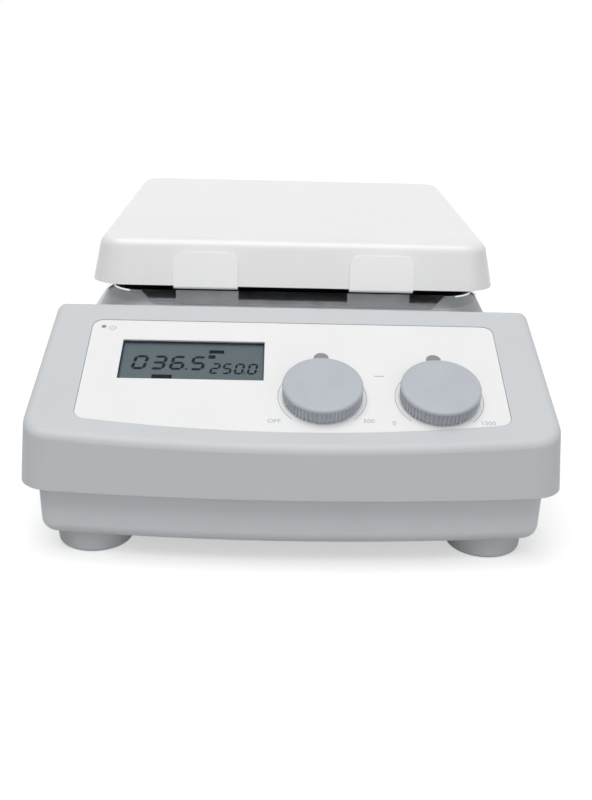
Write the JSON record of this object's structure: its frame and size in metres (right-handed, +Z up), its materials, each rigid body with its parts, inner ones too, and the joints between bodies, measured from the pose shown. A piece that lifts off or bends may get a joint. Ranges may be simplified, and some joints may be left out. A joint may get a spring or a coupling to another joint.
{
  "type": "hotplate stirrer",
  "caption": "Bench hotplate stirrer with a square heating plate on a tapered pedestal, a sloping control panel with display and push knobs, magnetic drive and rear connectors.",
  "frame": {"origin": "centre of the overall box, on the table under the feet", "axes": "+X to the right seen from the front, +Y from the control panel to the rear, +Z up"},
  "size_m": [0.215, 0.31, 0.112],
  "materials": {
    "housing_paint": "satin light grey enamel",
    "plate_enamel": "semi-gloss white enamel",
    "reflector_steel": "bright rolled steel",
    "pan_steel": "matt black, heat resistant",
    "foot_rubber": "matt grey",
    "zinc_steel": "zinc plated",
    "mineral_board": "matt ceramic fibre board",
    "resistance_strip": "heat-tinted strip",
    "film_print": "printed satin film",
    "clear_window": "clear",
    "crystal_glass": "grey-blue liquid crystal",
    "lamp_pipe": "translucent",
    "dark_plastic": "fine grain",
    "knob_plastic": "satin grey",
    "spindle_steel": "turned",
    "wheel_nylon": "natural",
    "encoder_shell": "die cast",
    "board_laminate": "solder mask",
    "motor_laminations": "stacked sheets",
    "holder_aluminium": "machined",
    "magnet_nickel": "nickel plated",
    "coil_wrap": "taped coil on a sheet core",
    "can_sleeve": "shrink sleeve",
    "pin_brass": "nickel-washed brass",
    "fuse_glass": "tube with metal caps",
    "shell_tin": "tinned shell with a dark insert"
  },
  "bodies": {
    "housing": {"upper_cover": "housing_paint", "base_tray": "housing_paint", "foot_front_left": "foot_rubber", "foot_front_right": "foot_rubber", "foot_rear_left": "foot_rubber", "foot_rear_right": "foot_rubber", "foot_screws": "zinc_steel", "cover_screws": "zinc_steel", "reflector_tray": "reflector_steel", "under_pan": "pan_steel", "pan_spacers": "zinc_steel", "pan_studs": "zinc_steel", "pan_nuts": "zinc_steel", "insulation_block": "mineral_board", "heating_element": "resistance_strip", "plate_sensors": "zinc_steel", "heating_plate": "plate_enamel", "plate_clips": "plate_enamel", "panel_film": "film_print", "display_lens": "clear_window", "display_glass": "crystal_glass", "display_frame": "dark_plastic", "indicator_lamps": "lamp_pipe", "control_board": "board_laminate", "board_screws": "zinc_steel", "heat_encoder": "encoder_shell", "stir_encoder": "encoder_shell", "motor_bracket": "zinc_steel", "bracket_screws": "zinc_steel", "motor_screws": "zinc_steel", "motor_housing": "zinc_steel", "motor_end_bell": "zinc_steel", "motor_bearings": "zinc_steel", "motor_stator": "motor_laminations", "power_board": "board_laminate", "transformer": "coil_wrap", "capacitors": "can_sleeve", "heat_sink": "holder_aluminium", "connector_plate": "holder_aluminium", "mains_inlet": "dark_plastic", "inlet_pins": "pin_brass", "switch_frame": "dark_plastic", "serial_socket": "shell_tin", "serial_jackscrews": "zinc_steel", "probe_socket": "dark_plastic", "rod_socket": "zinc_steel"},
    "heat_wheel": {"heat_detent_wheel": "wheel_nylon"},
    "heat_control": {"heat_knob": "knob_plastic", "heat_spindle": "spindle_steel"},
    "stir_wheel": {"stir_detent_wheel": "wheel_nylon"},
    "stir_control": {"stir_knob": "knob_plastic", "stir_spindle": "spindle_steel"},
    "drive_rotor": {"motor_shaft": "zinc_steel", "motor_rotor": "motor_laminations", "magnet_holder": "holder_aluminium", "drive_magnets": "magnet_nickel"},
    "rocker": {"switch_rocker": "dark_plastic"},
    "fuse_carrier": {"fuse_drawer": "dark_plastic", "fuse": "fuse_glass"}
  },
  "joints": [
    {"name": "heat_turn", "type": "hinge", "parent": "housing", "child": "heat_wheel", "pos_m": [0.0115, -0.12617, 0.06503], "axis": [0, -0.3811, 0.9245], "continuous": true},
    {"name": "heat_press", "type": "slide", "parent": "heat_wheel", "child": "heat_control", "axis": [0, 0.3811, -0.9245], "range_m": [0, 0.0005], "stiffness_N_per_m": 4000, "springref_m": -0.0002},
    {"name": "stir_turn", "type": "hinge", "parent": "housing", "child": "stir_wheel", "pos_m": [0.0583, -0.12617, 0.06503], "axis": [0, -0.3811, 0.9245], "continuous": true},
    {"name": "stir_press", "type": "slide", "parent": "stir_wheel", "child": "stir_control", "axis": [0, 0.3811, -0.9245], "range_m": [0, 0.0005], "stiffness_N_per_m": 4000, "springref_m": -0.0002},
    {"name": "drive_spin", "type": "hinge", "parent": "housing", "child": "drive_rotor", "pos_m": [0, 0.035, 0.0457], "axis": [0, 0, 1], "continuous": true},
    {"name": "switch_rock", "type": "hinge", "parent": "housing", "child": "rocker", "pos_m": [-0.01, 0.14439, 0.0341], "axis": [-1, 0, 0], "range_deg": [0, 16]},
    {"name": "fuse_slide", "type": "slide", "parent": "housing", "child": "fuse_carrier", "axis": [0, 1, 0], "range_m": [0, 0.022]}
  ]
}
